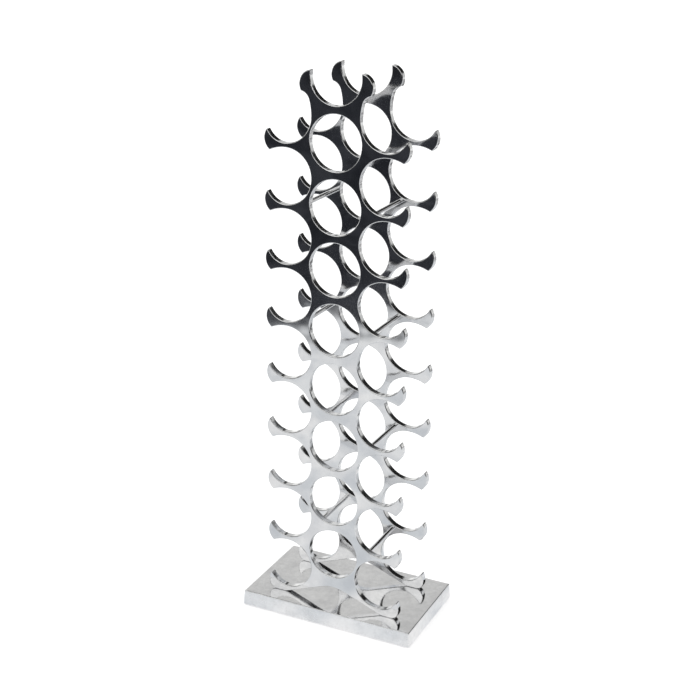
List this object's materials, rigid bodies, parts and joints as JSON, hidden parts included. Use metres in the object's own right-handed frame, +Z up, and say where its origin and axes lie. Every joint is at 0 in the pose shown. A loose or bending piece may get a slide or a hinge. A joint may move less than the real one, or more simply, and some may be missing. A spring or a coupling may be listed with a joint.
{
  "type": "wine rack",
  "caption": "Free-standing polished aluminium wine rack: two parallel cast lattice frames of rings and open cradles, joined by tie rods and standing on a rectangular base.",
  "frame": {"origin": "on the surface the rack stands on, under the middle of the base", "axes": "+Z up, +Y from the front frame to the back frame, +X to the right seen from the front"},
  "size_m": [0.325, 0.191, 0.9577],
  "materials": {
    "frame_casting": "cast aluminium, machined and polished to a soft mirror",
    "base_casting": "cast aluminium, polished on top and at the sides",
    "tie_rod": "drawn bar, polished",
    "fastener": "plain stainless steel",
    "foot_rubber": "matt black rubber"
  },
  "bodies": {
    "root": {"base": "base_casting", "front_frame": "frame_casting", "back_frame": "frame_casting", "tie_rod_left_2": "tie_rod", "tie_rod_left_4": "tie_rod", "tie_rod_left_6": "tie_rod", "tie_rod_left_8": "tie_rod", "tie_rod_right_2": "tie_rod", "tie_rod_right_4": "tie_rod", "tie_rod_right_6": "tie_rod", "tie_rod_right_8": "tie_rod", "rod_studs": "fastener", "rod_screws": "fastener", "foot_washers": "fastener", "foot_screws": "fastener", "foot_pad_screws": "fastener", "rubber_foot_front_left": "foot_rubber", "rubber_foot_front_right": "foot_rubber", "rubber_foot_back_left": "foot_rubber", "rubber_foot_back_right": "foot_rubber"}
  },
  "joints": []
}
